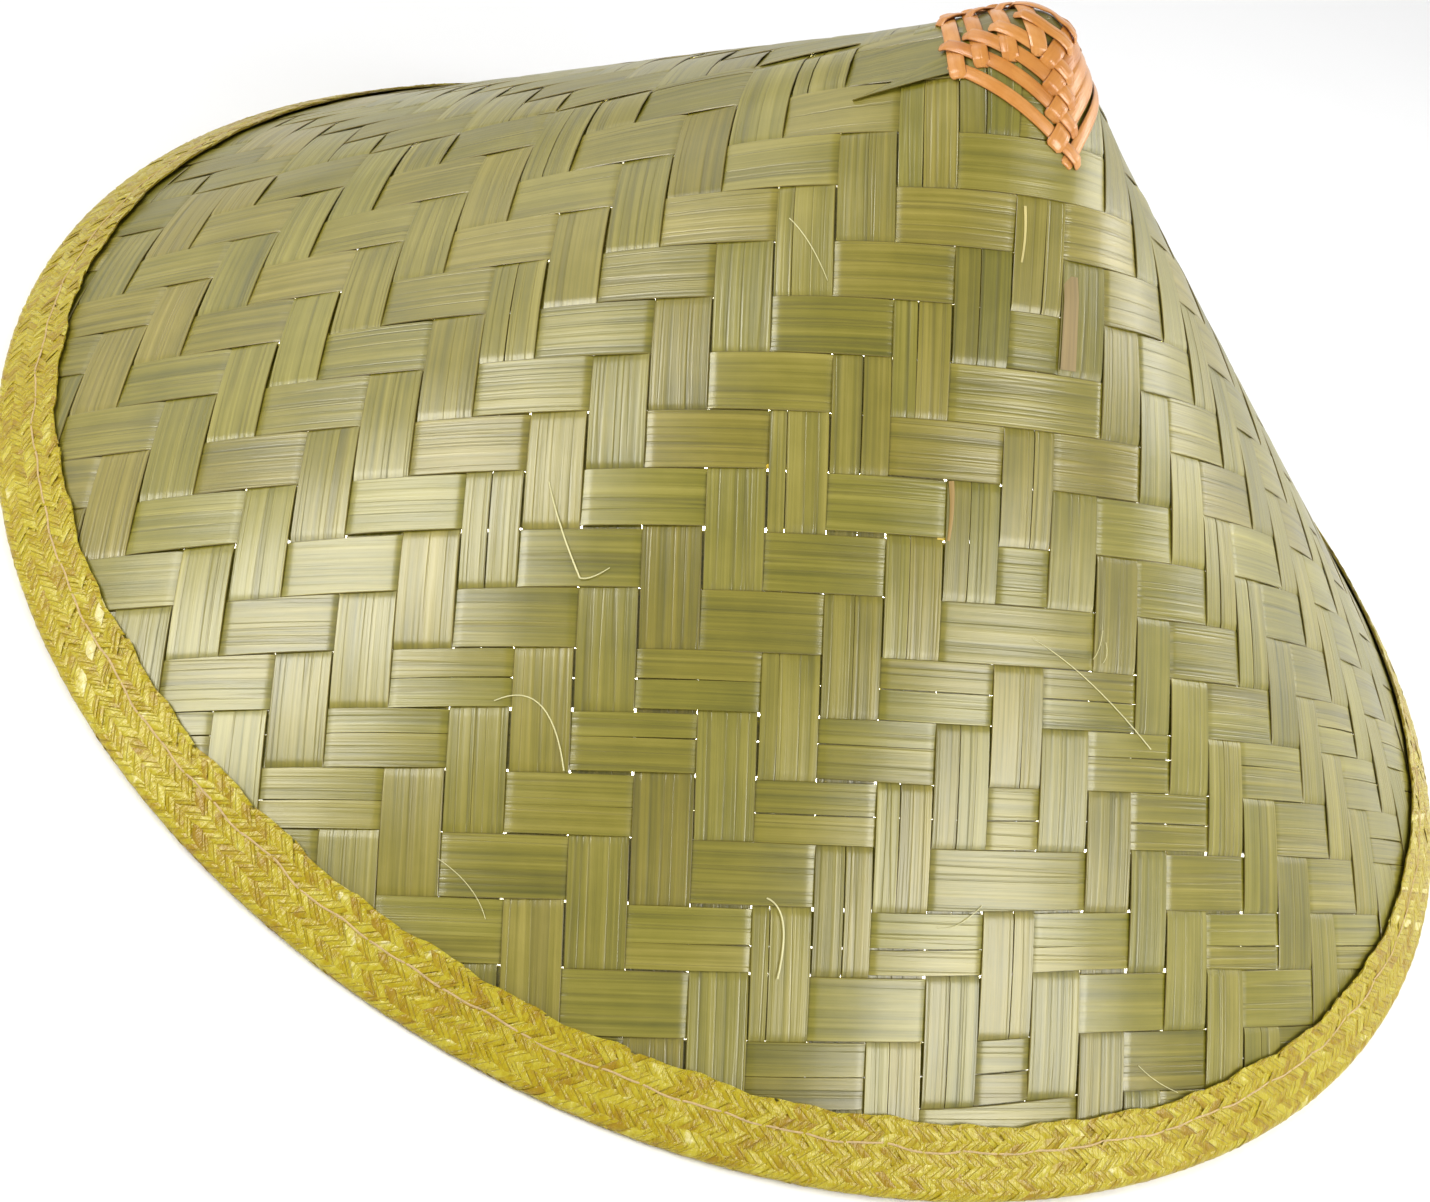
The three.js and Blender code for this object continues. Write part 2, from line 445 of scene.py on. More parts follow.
def wavedLift(along, edges, over):
    # lift = half the weave's depth * a smooth step from -1 to 1 at each edge between cells of different
    # state, and a bow of arch * sin(pi * share) along each run of cells of one state
    k = np.clip(np.searchsorted(edges, along, side="right") - 1, 0, len(over) - 1)
    state = np.where(over, 1.0, -1.0)
    here = state[k]
    before = state[np.maximum(k - 1, 0)]
    after = state[np.minimum(k + 1, len(over) - 1)]
    toLow = (along - edges[k]) / weave["turnover"]
    toHigh = (edges[np.minimum(k + 1, len(edges) - 1)] - along) / weave["turnover"]

    def step(x):
        x = np.clip(x * 0.5 + 0.5, 0, 1)
        return x * x * (3 - 2 * x)

    level = before + (here - before) * step(toLow)
    high = after + (here - after) * step(toHigh)
    turns = np.flatnonzero(np.diff(state)) + 1
    bounds = edges[np.concatenate([[0], turns, [len(over)]])]
    run = np.clip(np.searchsorted(bounds, along, side="right") - 1, 0, len(bounds) - 2)
    share = np.clip((along - bounds[run]) / (bounds[run + 1] - bounds[run]), 0, 1)
    bow = weave["arch"] * here * np.sin(np.pi * share)
    return weave["lift"] * np.where(toLow < toHigh, level, high) + bow


def trimToEdge(t, across):
    # near the brim the stations are drawn in, so that each line of the slip ends on the circle of the edge
    reach = np.sqrt(np.maximum(weave["edge"] ** 2 - across ** 2, 0.5))
    full = np.abs(t).max()
    bend = np.minimum(reach.min(axis=1)[:, None], full) - weave["drawnIn"]
    drawn = np.sign(t) * (bend + (np.abs(t) - bend) * (reach - bend) / (full - bend))
    return np.where(np.abs(t) > bend, drawn, t)


def stationsBetween(edges, start, end):
    shares = np.array(weave["stations"])
    inner = (edges[:-1, None] + shares * np.diff(edges)[:, None]).ravel()
    inner = inner[(inner > start + 0.03) & (inner < end - 0.03)]
    return np.concatenate([[start], inner, [end]])


def slipParts(edges, over, start, end, lowEdge, highEdge, gaps, split, place):
    # one place in the weave holds one broad slip, or two narrow ones side by side where it is split
    along = stationsBetween(edges, start, end)
    lift = wavedLift(along, edges, over)
    low, high = lowEdge(along), highEdge(along)
    cuts = [0.0, 1.0] if split is None else [0.0, split, 1.0]
    base = rng.uniform(*weave["tones"])
    opening = rng.uniform(0, 6.3)
    parts = []
    for a, b in zip(cuts[:-1], cuts[1:]):
        wander = weave["wander"] * np.sin(along * rng.uniform(0.3, 0.8) + rng.uniform(0, 6.3))
        inside = weave["splitGap"] / 2 * np.clip(np.sin(along * 0.7 + opening), 0, 1)
        left = low + (high - low) * a + (gaps[0] / 2 if a == 0 else inside) + wander
        right = low + (high - low) * b - (gaps[1] / 2 if b == 1 else inside) + wander
        tone = np.clip(base + rng.uniform(-1, 1) * weave["splitTone"], 0, 1)
        tilt = rng.uniform(-1, 1) * weave["tilt"] * (b - a)
        parts.append(ribbon(along, left, right, lift, weave["thickness"], place, tone=tone, trim=trimToEdge,
                            crown=weave["crown"] * (b - a), tilt=tilt))
        parts[-1]["along"] = parts[-1]["along"] + rng.uniform(0, 400)
    return parts


def placeRow(t, across, lift):
    return onSheet(t, across, lift)


def placeColumn(t, across, lift):
    return onSheet(across, -t, lift)


def columnLanes():
    # the edges of all columns from left to right
    return np.array([columnEdge(k) for k in range(-weave["columns"], weave["columns"] + 2)])


def rowStates(n):
    # where row n passes over the columns, from left to right
    return np.array([rowOver(n, abs(m)) for m in range(-weave["columns"], weave["columns"] + 1)])


def rowSlips():
    edges = columnLanes()
    gaps = rng.uniform(*weave["rowGap"], size=weave["rows"] + 1)
    parts = []
    for n in range(weave["rows"]):
        middle = weave["firstRowEdge"] + weave["rowPitch"] * (n + 0.5)
        reach = np.sqrt(weave["edge"] ** 2 - middle ** 2)
        parts += slipParts(edges, rowStates(n), -reach, reach, lambda u, n=n: rowEdge(n, u) + gape(n, u) / 2,
                           lambda u, n=n: rowEdge(n + 1, u) - gape(n + 1, u) / 2, gaps[n:n + 2],
                           weave["splits"]["row"].get(n), placeRow)
    return parts


def columnEdges(side, number, backShift):
    # along = -v: the rows of the front come first, then the slips of the other side, which close the back
    across = side * number + weave["columnShift"]
    front = [-float(rowEdge(n, np.array(across))) for n in range(weave["rows"], 0, -1)]
    join = (-float(rowEdge(0, np.array(across))) + 0.5 + backShift) / 2
    back = [k + 0.5 + backShift for k in range(1, weave["columns"] + 1)]
    return np.array(front + [join] + back)


def columnEdge(k):
    # the edge between column k - 1 and column k
    return k - 0.5 + weave["columnShift"] + weave["columnDrift"].get(k, 0)


def columnSlips(side):
    # side 1 has the columns right of the ray and the ray itself, side -1 has the columns left of it
    shift = weave["columnShift"]
    gaps = rng.uniform(*weave["columnGap"], size=weave["columns"] + 2)
    splits = weave["splits"]["right" if side > 0 else "left"]
    parts = []
    for m in range(0 if side > 0 else 1, weave["columns"] + 1):
        edges = columnEdges(side, m, -side * shift)
        frontOver = [not rowOver(n, m) for n in range(weave["rows"] - 1, -1, -1)]
        others = range(1, weave["columns"] + 1)
        backOver = [rightOver(m, j) if side > 0 else not rightOver(j, m) for j in others]
        over = np.array(frontOver + backOver)
        middle = side * m + shift
        reach = np.sqrt(max(weave["edge"] ** 2 - middle ** 2, 2.0))
        end = -0.3 if m == 0 else reach
        low, high = columnEdge(side * m), columnEdge(side * m + 1)
        parts += slipParts(edges, over, -reach, end, lambda t, low=low: low + 0 * t,
                           lambda t, high=high: high + 0 * t, gaps[m:m + 2][::side],
                           splits.get(m), placeColumn)
    return parts


def fillerSlips():
    # beside the apex the first row fans away from the slips of the back: a tapering slip closes each gap
    edges = columnLanes()
    parts = []
    for start, end, backEdge in weave["fillers"]:
        along = stationsBetween(edges, start, end)
        low = backEdge + 0 * along
        high = np.maximum(rowEdge(0, along) - 0.01, backEdge + 0.03)
        lift = wavedLift(along, edges, rowStates(0))
        parts.append(ribbon(along, low, high, lift, weave["thickness"], placeRow, tone=weave["fillerTone"],
                            crown=weave["crown"]))
    return parts


rowPiece = makePiece("rowSlips", rowSlips(), bamboo, pitch)
rightPiece = makePiece("rightColumnSlips", columnSlips(1), bamboo, pitch)
leftPiece = makePiece("leftColumnSlips", columnSlips(-1), bamboo, pitch)
fillerPiece = makePiece("fillerSlips", fillerSlips(), bamboo, pitch)
for piece in (rowPiece, rightPiece, leftPiece, fillerPiece):
    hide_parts("woven_crown")
print("weave made")


# bits that lie on the weave or show in its holes. Each is a curve through three places on the sheet, with
# its width at both ends, all in pitches, its lift at both ends in mm, and its colour: brown 0, orange 0.3,
# yellow 0.6, pale 0.9
strays = (
    ((0.765, 4.22), (0.77, 5.1), (0.765, 6.05), (0.31, 0.33), (-0.10, 0.85), 0.02),
    ((-0.26, 3.35), (-0.23, 3.85), (-0.27, 4.32), (0.050, 0.035), (0.60, 0.75), 0.8),
    ((-1.35, 8.13), (-1.32, 8.6), (-1.36, 9.13), (0.10, 0.05), (0.60, 0.75), 0.3),
    ((-1.54, 9.07), (-1.45, 9.07), (-1.38, 9.07), (0.12, 0.12), (0.10, 0.10), 0.6),
    ((0.46, 9.07), (0.51, 9.07), (0.57, 9.07), (0.11, 0.11), (0.10, 0.10), 0.6),
    ((-4.49, 8.07), (-4.43, 8.07), (-4.38, 8.07), (0.08, 0.08), (0.10, 0.10), 0.6),
    ((-9.60, 9.13), (-9.53, 9.13), (-9.46, 9.13), (0.10, 0.10), (0.00, 0.00), 0.3),
    ((-7.57, 9.10), (-7.5, 9.10), (-7.43, 9.10), (0.10, 0.10), (0.00, 0.00), 0.3),
    ((-8.00, 8.40), (-7.75, 9.2), (-7.40, 10.05), (0.022, 0.028), (0.80, 1.30), 0.9),
    ((-7.40, 10.05), (-7.2, 10.02), (-6.93, 9.86), (0.026, 0.012), (1.30, 0.90), 0.9),
    ((-8.70, 12.10), (-7.95, 12.15), (-7.53, 13.20), (0.018, 0.022), (0.80, 1.00), 0.9),
    ((-4.20, 3.73), (-3.85, 4.2), (-3.53, 4.87), (0.02, 0.012), (0.90, 0.80), 0.9),
    ((0.29, 10.64), (1.5, 11.3), (2.93, 12.36), (0.012, 0.020), (0.80, 1.10), 0.9),
    ((-4.20, 15.10), (-3.92, 15.5), (-3.98, 16.38), (0.025, 0.025), (0.80, 1.20), 0.9),
    ((-1.27, 15.47), (-0.9, 15.42), (-0.47, 15.10), (0.014, 0.012), (0.80, 0.90), 0.9),
    ((-9.47, 14.67), (-8.95, 15.1), (-8.67, 15.60), (0.014, 0.012), (0.80, 0.90), 0.9),
    ((2.87, 17.73), (3.3, 18.0), (3.80, 18.20), (0.016, 0.012), (0.80, 0.90), 0.9),
    ((1.55, 10.9), (1.66, 10.72), (1.72, 10.40), (0.012, 0.012), (0.80, 1.20), 0.9),
    ((1.78, 10.95), (1.84, 10.8), (1.80, 10.60), (0.012, 0.012), (0.80, 1.20), 0.9),
)


strayThickness = 0.0002
strayStations = 16


def placeOnCurve(first, middle, last):
    # centre(t) = (1 - t)^2 first + 2 t (1 - t) bend + t^2 last, with the bend set so that the curve meets
    # the middle
    first, middle, last = (np.array(place, float) for place in (first, middle, last))
    bend = 2 * middle - (first + last) / 2

    def place(t, across, lift):
        s = t[..., None]
        centre = (1 - s) ** 2 * first + 2 * s * (1 - s) * bend + s ** 2 * last
        ahead = 2 * (1 - s) * (bend - first) + 2 * s * (last - bend)
        ahead = ahead / np.linalg.norm(ahead, axis=-1, keepdims=True)
        u = centre[..., 0] - ahead[..., 1] * across
        v = centre[..., 1] + ahead[..., 0] * across
        return onSheet(u, v, lift)
    return place


def strayParts():
    # the brown end of a slip comes up from under its neighbour within a third of its length
    parts = []
    for first, middle, last, widths, lifts, tone in strays:
        t = np.linspace(0, 1, strayStations)
        half = np.interp(t, (0, 1), widths) / 2
        lift = np.interp(np.minimum(t * 3, 1) if tone < 0.1 else t, (0, 1), lifts) / 1000
        piece = ribbon(t, -half, half, lift, strayThickness, placeOnCurve(first, middle, last),
                       section=threadSection, tone=tone)
        piece["along"] = piece["along"] * np.hypot(last[0] - first[0], last[1] - first[1])
        parts.append(piece)
    return parts


# one twisted slip that runs in under the corner of the patch
twisted = {
    "places": ((-3.25, 1.42), (-2.45, 1.20), (-1.55, 0.90)),
    "length": 1.75,                                         # in pitches, as the places and the widths are
    "widths": ((0, 0.25, 1), (0.03, 0.13, 0.44)),           # at shares of its length
    "lifts": ((0, 0.3, 0.8, 1), (0.70, 1.05, 1.10, 0.75)),  # the same, in mm
    "thickness": 0.0003,
    "twist": 0.0005,
    "tone": 0.47,
    "stations": 24,
}


def foldedSlip():
    # its tilt goes as twist * sin(2.2 t + 0.6)
    t = np.linspace(0, 1, twisted["stations"])
    half = np.interp(t, *twisted["widths"]) / 2
    lift = np.interp(t, *twisted["lifts"]) / 1000
    tilt = (twisted["twist"] * np.sin(2.2 * t + 0.6))[:, None]
    piece = ribbon(t, -half, half, lift, twisted["thickness"], placeOnCurve(*twisted["places"]),
                   tone=twisted["tone"], tilt=tilt)
    piece["along"] = piece["along"] * twisted["length"]
    return [piece]


foldedPiece = makePiece("foldedSlip", foldedSlip(), bamboo, pitch)
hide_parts("woven_crown")


strayLook = {
    # brown, orange, yellow and pale, each with its place on the scale of tones
    "ramp": ((0.0, (0.27, 0.190, 0.065)), (0.3, (0.30, 0.18, 0.03)), (0.6, (0.72, 0.50, 0.02)),
             (0.9, (0.60, 0.56, 0.28))),
    "shade": (0.7, 1.2),
    "roughness": 0.45,
    "fibres": {"Streak Scale": 700},
}


def strayMaterial(look):
    material, shader = newMaterial("strayBits")
    tree = material.node_tree
    colour = addRamp(tree, readAttribute(tree, "tone"), look["ramp"])
    streaks = fibreMasks(tree, look["fibres"])[0]
    dark, light = look["shade"]
    inputs = {"Value": streaks, "From Min": 0.3, "From Max": 0.7, "To Min": dark, "To Max": light}
    shade = addNode(tree, "ShaderNodeMapRange", inputs).outputs["Result"]
    shaded = addNode(tree, "ShaderNodeVectorMath", {0: colour, "Scale": shade}, operation="SCALE")
    tree.links.new(shaded.outputs["Vector"], shader.inputs["Base Color"])
    shader.inputs["Roughness"].default_value = look["roughness"]
    return material


strayPiece = makePiece("strayBits", strayParts(), strayMaterial(strayLook), pitch)
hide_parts("woven_crown")
print("stray bits made")


# the binding: a braid of fine straw, folded over the edge and sewn through with a running stitch
braid = {
    "edgeHeight": 0.00205,
    "flap": 0.0148,           # how far each side of the fold reaches up the slope
    "middle": 0.00192,        # from the middle of the wall to the middle of the braid
    "straws": 400,            # going each way round the brim
    "strawWidth": 0.0025,
    "strawShares": (0.8, 1.1),    # of that width
    "lift": 0.00011,
    "thickness": 0.00018,
    "tone": (0.45, 0.12),     # middle and spread
    "shift": 0.0002,          # how far a straw, its slant and its tilt may be off
    "slantSpread": 0.10,
    "tilt": 0.00018,
    "slant": 1.15,            # how far a straw goes along the tape for each step across it
    "groove": 0.00025,        # the stitches draw the tape down in a groove
    "grooveAt": 0.0088,       # up the slope from the fold
    "grooveWidth": 0.0013,
    # waves of the upper edge: how many, how much, and where they start
    "waves": ((131, 0.012, 0.4), (57, 0.024, 2.0), (23, 0.022, 4.1)),
    "bodyLifts": (-0.0005, -0.00018),
    "bodySteps": (288, 28),   # round the brim and across the tape
    "stitch": 0.0092,
    "threadWidth": 0.00044,
    "threadThickness": 0.0004,
    "threadLift": 0.00022,
    "dive": 0.0003,
}
braidRng = np.random.default_rng(21)


def onBinding(turn, reach, lift):
    # reach goes down the outer flap, round the fold and up the inner one: a hairpin carried round the brim
    arc = np.pi * braid["middle"]
    bend = np.clip((reach - braid["flap"]) / braid["middle"], 0, np.pi)
    past = reach - braid["flap"]
    upSlope = np.where(past < 0, -past, np.maximum(past - arc, 0))
    ripple = sum(share * np.sin(count * turn + phase) for count, share, phase in braid["waves"])
    drawn = np.exp(-((upSlope - braid["grooveAt"]) / braid["grooveWidth"]) ** 2)
    pucker = 1 + 0.35 * np.cos(turn * cone["edgeRadius"] / braid["stitch"])
    middle = braid["middle"] + lift - braid["groove"] * drawn * pucker
    upSlope = upSlope * (1 + ripple) - middle * np.sin(bend)
    rise = middle * np.cos(bend)
    radius = cone["edgeRadius"] - upSlope * slopeSine + rise * slopeCosine
    height = braid["edgeHeight"] + upSlope * slopeCosine + rise * slopeSine + 0 * turn
    return np.stack([radius * np.sin(turn), -radius * np.cos(turn), np.maximum(height, 0.0002)], axis=-1)


strawLook = {
    # dark, middle and pale straw, and a painted glint at the top, each with its place on the scale of tones
    "ramp": ((0.1, (0.31, 0.190, 0.003)), (0.45, (0.41, 0.315, 0.004)), (0.78, (0.50, 0.425, 0.035)),
             (0.95, (0.67, 0.59, 0.25))),
    # painted shade for the straws' edges and creases
    "flank": (0.24, 0.135, 0.003),
    "paintedShadeShare": 0.38,
    "creaseWidth": 0.13,
    "toneShares": (0.95, 1.2),                # of the streaks and the mottling
    "heightShares": (1.0, 1.2, -0.4, -0.6),   # of the ridges, the mottling, the lines and the crease
    "bump": (0.0004, 0.75),                   # distance and strength
    "roughness": 0.30,
    "specular": 0.32,
    "fibres": {"Streak Scale": 1300, "Line Scale": 500, "Ridge Scale": 2200, "Mottle Scale": 320,
               "Stretch": 0.08},
}


def strawMaterial(look):
    material, shader = newMaterial("strawBraid")
    tree = material.node_tree
    tone = readAttribute(tree, "tone")
    streaks, lines, ridges, mottle = fibreMasks(tree, look["fibres"])
    # the top of the ramp paints small glints where the tone, streaks and mottling run high
    colour = addRamp(tree, variedTone(tree, tone, zip((streaks, mottle), look["toneShares"])), look["ramp"])
    # each straw has a crease off its middle, drawn by the bump and by painted shade: mask = 1 - |aside + 3
    # tone - 1.35| / crease width
    crease = calculate(tree, "MULTIPLY_ADD", tone, 3.0, readAttribute(tree, "aside"))
    crease = calculate(tree, "ABSOLUTE", calculate(tree, "SUBTRACT", crease, 1.35))
    inputs = {"Value": crease, "From Max": look["creaseWidth"], "To Min": 1.0, "To Max": 0.0}
    crease = addNode(tree, "ShaderNodeMapRange", inputs).outputs["Result"]
    # painted shade: the crease and the straw's edges are darkened towards the flank colour
    soft = calculate(tree, "MAXIMUM", crease, readAttribute(tree, "flank"))
    soft = calculate(tree, "MULTIPLY", soft, look["paintedShadeShare"])
    colour = mixColour(tree, soft, colour, (*look["flank"], 1))
    tree.links.new(colour, shader.inputs["Base Color"])
    shader.inputs["Roughness"].default_value = look["roughness"]
    shader.inputs["Specular IOR Level"].default_value = look["specular"]
    height = weighed(tree, zip((ridges, mottle, lines, crease), look["heightShares"]))
    linkBump(tree, shader, height, *look["bump"])
    return material


straw = strawMaterial(strawLook)


def strawRibbons(way):
    # straw i crosses the tape at a slant. With j the straw of the other way that it meets, the right-going
    # one is on top where (j - i) mod 4 is 0 or 1, which gives short floats that lean one way and the other
    count = braid["straws"]
    step = 2 * np.pi / count
    total = 2 * braid["flap"] + np.pi * braid["middle"]
    crossing = step * cone["edgeRadius"] / 2 / braid["slant"]
    seen = braid["flap"] + np.pi * braid["middle"] * 0.8
    reach = np.concatenate([np.linspace(0, seen, 27), np.linspace(seen, total, 5)[1:]])
    parts = []
    for i in range(count):
        shift = braidRng.uniform(-1, 1) * braid["shift"]
        slope = way * braid["slant"] * (1 + braidRng.uniform(-1, 1) * braid["slantSpread"])
        wave = way * np.sin(np.pi / 2 * (reach - total / 2) / crossing + np.pi / 4)
        lift = braid["lift"] * np.clip(wave * 2.2, -1, 1) + braidRng.uniform(-0.00002, 0.00002)
        centre = i * step + slope * (reach - total / 2) / cone["edgeRadius"]
        wide = braid["strawWidth"] / 2 * np.hypot(1, braid["slant"]) / cone["edgeRadius"]
        half = wide * braidRng.uniform(*braid["strawShares"])
        tone = np.clip(braidRng.normal(*braid["tone"]), 0, 1)

        def place(t, across, rise):
            return onBinding(across, np.clip(t + shift, 0, total), rise)

        tilt = braidRng.uniform(-1, 1) * braid["tilt"]
        piece = ribbon(reach, centre - half, centre + half, lift, braid["thickness"], place,
                       section=strawSection, tone=tone, crown=0.00003, tilt=tilt)
        # reach and turn are left-handed on the tape, so the faces are turned round to point outwards
        piece["quads"] = piece["quads"][:, ::-1]
        piece["tone"] = piece["tone"] + 0.04 * np.sin(i * 0.37) * np.sin(i * 0.11 + 1)
        piece["across"] = (piece["across"] - i * step) * cone["edgeRadius"] * 0.6 + braidRng.uniform(0, 10)
        parts.append(piece)
    return parts


def tapeBody():
    # the thin body of the tape closes the view between the straws: a hairpin section turned round the brim
    count, across = braid["bodySteps"]
    turns = np.linspace(0, 2 * np.pi, count + 1)[:-1]
    total = 2 * braid["flap"] + np.pi * braid["middle"]
    reach = np.linspace(0.0006, total - 0.0006, across)
    under, over = braid["bodyLifts"]
    loop = np.concatenate([reach, reach[::-1]])
    sides = np.concatenate([np.full(across, over), np.full(across, under)])
    points = onBinding(turns[:, None], loop[None, :], sides[None, :])
    ring = len(loop)
    i, c = np.meshgrid(np.arange(count), np.arange(ring), indexing="ij")
    nextTurn, nextSide = (i + 1) % count, (c + 1) % ring
    corners = (i * ring + c, i * ring + nextSide, nextTurn * ring + nextSide, nextTurn * ring + c)
    quads = np.stack(corners, axis=-1)
    size = count * ring
    return [{
        "points": points.reshape(-1, 3),
        "quads": quads.reshape(-1, 4),
        "along": np.repeat(turns * cone["edgeRadius"], ring),
        "across": np.tile(loop, count),
        # painted shade: the body has a low tone and half of the straws' painted edge shade, so it reads dark
        # between the straws
        "flank": np.full(size, 0.5),
        "aside": np.ones(size),
        "tone": np.full(size, 0.3),
    }]


threadLook = {
    "colour": (0.46, 0.33, 0.15),
    "paler": (0.598, 0.429, 0.195),
    "grain": 900.0,
    "bump": (0.0001, 0.6),
    "roughness": 0.7,
}


def threadMaterial(look):
    material, shader = newMaterial("sewingThread")
    tree = material.node_tree
    place = addNode(tree, "ShaderNodeTexCoord").outputs["Object"]
    inputs = {"Vector": place, "Scale": look["grain"], "Detail": 2.0}
    grain = addNode(tree, "ShaderNodeTexNoise", inputs).outputs["Fac"]
    colour = addRamp(tree, grain, ((0.3, look["colour"]), (0.7, look["paler"])))
    tree.links.new(colour, shader.inputs["Base Color"])
    shader.inputs["Roughness"].default_value = look["roughness"]
    linkBump(tree, shader, grain, *look["bump"])
    return material


def stitchParts():
    # running stitch: a thread that lies on the tape, and dives through it for a short way at each hole
    count = round(2 * np.pi * (cone["edgeRadius"] - braid["grooveAt"] * slopeSine) / braid["stitch"])
    share = np.linspace(0, 1, 15)
    dive = np.clip((np.abs(share - 0.5) - 0.46) / 0.04, 0, 1) ** 2
    parts = []
    for i in range(count):
        turn = (i + share) * 2 * np.pi / count
        side = 0.0002 * np.sin(turn * 41) + 0.0004 * (share - 0.5) * (1 if i % 2 else -1)
        middle = braid["flap"] - braid["grooveAt"] + side
        lift = braid["threadLift"] - braid["dive"] * dive
        half = braid["threadWidth"] / 2

        def place(t, across, rise):
            return onBinding(-t, across, rise)

        parts.append(ribbon(-turn, middle - half, middle + half, lift, braid["threadThickness"], place,
                            section=threadSection))
    return parts


stitches = makePiece("runningStitch", stitchParts(), threadMaterial(threadLook))
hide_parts("edge_binding")
rightStraws = makePiece("braidStrawsRight", strawRibbons(1), straw)
leftStraws = makePiece("braidStrawsLeft", strawRibbons(-1), straw)
tape = makePiece("braidBody", tapeBody(), straw)
for piece in (rightStraws, leftStraws, tape):
    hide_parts("edge_binding")
print("binding made")


# the apex patch: four bands of narrow strips, each laid straight on the cone, woven where the bands meet
patch = {
    "centre": (0.00197, 0.00789),
    "thickness": 0.00045,
    "crown": 0.00024,
    "buried": 0.00070,        # lifts off the middle of the wall: under two layers, between them, and on top
    "low": 0.00112,
    "high": 0.00168,
    "tuck": 0.0012,           # how far an end goes past the strip that it crosses last
    "bands": {
        # foot of the band in degrees from the camera's side, then each strip's distance in pitches and width
        # in mm, from the outermost one inwards
        "front": (-7.1, ((2.437, 3.1), (2.065, 3.3), (1.743, 3.4), (1.446, 3.2), (1.04, 2.9), (0.68, 2.8),
                         (0.36, 2.6))),
        "right": (118.4, ((1.361, 3.4), (0.989, 4.4), (0.697, 4.0), (0.427, 4.0), (0.17, 3.3))),
        "back": (198.4, ((1.32, 3.4), (0.98, 3.3), (0.65, 3.2), (0.33, 2.9))),
        "left": (-81.5, ((2.024, 3.8), (1.634, 3.4), (1.19, 3.4), (0.769, 3.2))),
    },
}
patchRng = np.random.default_rng(5)


def placeOnBand(foot):
    # a flat place is turned to the foot of its band and pushed out onto the cone
    def place(t, across, lift):
        turn = np.arctan2(t, across) / slopeSine + np.radians(foot)
        reach = np.hypot(t, across) * slopeSine
        x = reach * np.sin(turn) + patch["centre"][0]
        y = -reach * np.cos(turn) + patch["centre"][1]
        radius = np.maximum(np.hypot(x, y), 1e-6)
        return onProfile(x / radius, y / radius, radius / slopeSine, lift)
    return place


def crossingAlong(strip, other, side):
    # how far along one strip its middle line meets another's, from both lines drawn flat as short steps
    t = np.linspace(0, 4.5 * pitch, 400) * side
    otherT = -t
    zero = 0 * t
    lineA = placeOnBand(strip[0])(t, zero + strip[1] * pitch, zero)[:, :2]
    lineB = placeOnBand(other[0])(otherT, zero + other[1] * pitch, zero)[:, :2]
    apart = np.linalg.norm(lineA[:, None] - lineB[None], axis=-1)
    return t[np.unravel_index(apart.argmin(), apart.shape)[0]]


def easedLift(t, keys):
    # piecewise smooth steps through the (along, lift) keys
    places, lifts = np.array(sorted(keys)).T
    k = np.clip(np.searchsorted(places, t, side="right") - 1, 0, len(places) - 2)
    x = np.clip((t - places[k]) / np.maximum(places[k + 1] - places[k], 1e-9), 0, 1)
    return lifts[k] + (lifts[k + 1] - lifts[k]) * x * x * (3 - 2 * x)


def stripParts():
    # a strip of the front or back passes under the side strip of its own number and over the next one
    # outwards. A strip of the sides passes under the next one inwards, over its own number, and is tucked
    # in beyond it
    names = list(patch["bands"])
    buried, low, high = patch["buried"], patch["low"], patch["high"]
    parts = []
    for bandNumber, name in enumerate(names):
        foot, bandStrips = patch["bands"][name]
        onTop = name in ("right", "left")
        rest = buried if onTop else low
        for k, (distance, width) in enumerate(bandStrips):
            keys = [(0.0, rest)]
            ends = []
            for side in (-1, 1):
                otherFoot, others = patch["bands"][names[(bandNumber + side) % 4]]

                def meet(number):
                    return crossingAlong((foot, distance), (otherFoot, others[number][0]), side)

                # the outermost strip at the right has no strip of the front to lie on, so the numbers are
                # one apart there
                apart = {("front", 1): 1, ("right", -1): -1}.get((name, side), 0)
                own = min(k + apart, len(others) - onTop)
                otherWidth = others[max(own if onTop else own - 1, 0)][1] / 1000
                if own < 0:
                    end = meet(0) + side * otherWidth
                    keys += [(meet(0), rest), (end, rest)]
                elif onTop:
                    last = meet(own)
                    if own + 1 < len(others):
                        keys += [(meet(own + 1), rest)]
                    end = last + side * (otherWidth / 2 + patch["tuck"])
                    keys += [(last - side * otherWidth * 0.25, high)]
                    keys += [(last + side * otherWidth * 0.3, high)]
                    keys += [(end, buried if own > 0 else low)]
                else:
                    last = meet(max(own - 1, 0))
                    end = last + side * (otherWidth / 2 + patch["tuck"] * min(own, 1) + 0.0002)
                    if own < len(others):
                        keys += [(meet(own), rest)]
                    if own > 0:
                        keys += [(last - side * otherWidth * 0.25, high)]
                        keys += [(last + side * otherWidth * 0.3, high)]
                    keys += [(end, buried)]
                ends.append(end)
            t = np.linspace(ends[0], ends[1], 84)
            lift = easedLift(t, keys)
            fromEnd = np.clip(np.minimum(t - ends[0], ends[1] - t) / 0.0011, 0, 1)
            wide = width / 2000 * patchRng.uniform(0.97, 1.03) * np.sqrt(1 - 0.55 * (1 - fromEnd) ** 2)
            middle = distance * pitch + 0 * t
            tone = patchRng.uniform(0.4, 0.6)
            piece = ribbon(t, middle - wide, middle + wide, lift, patch["thickness"], placeOnBand(foot),
                           section=stripSection, tone=tone, crown=patch["crown"])
            piece["along"] = piece["along"] + patchRng.uniform(0, 10)
            parts.append(piece)
    return parts


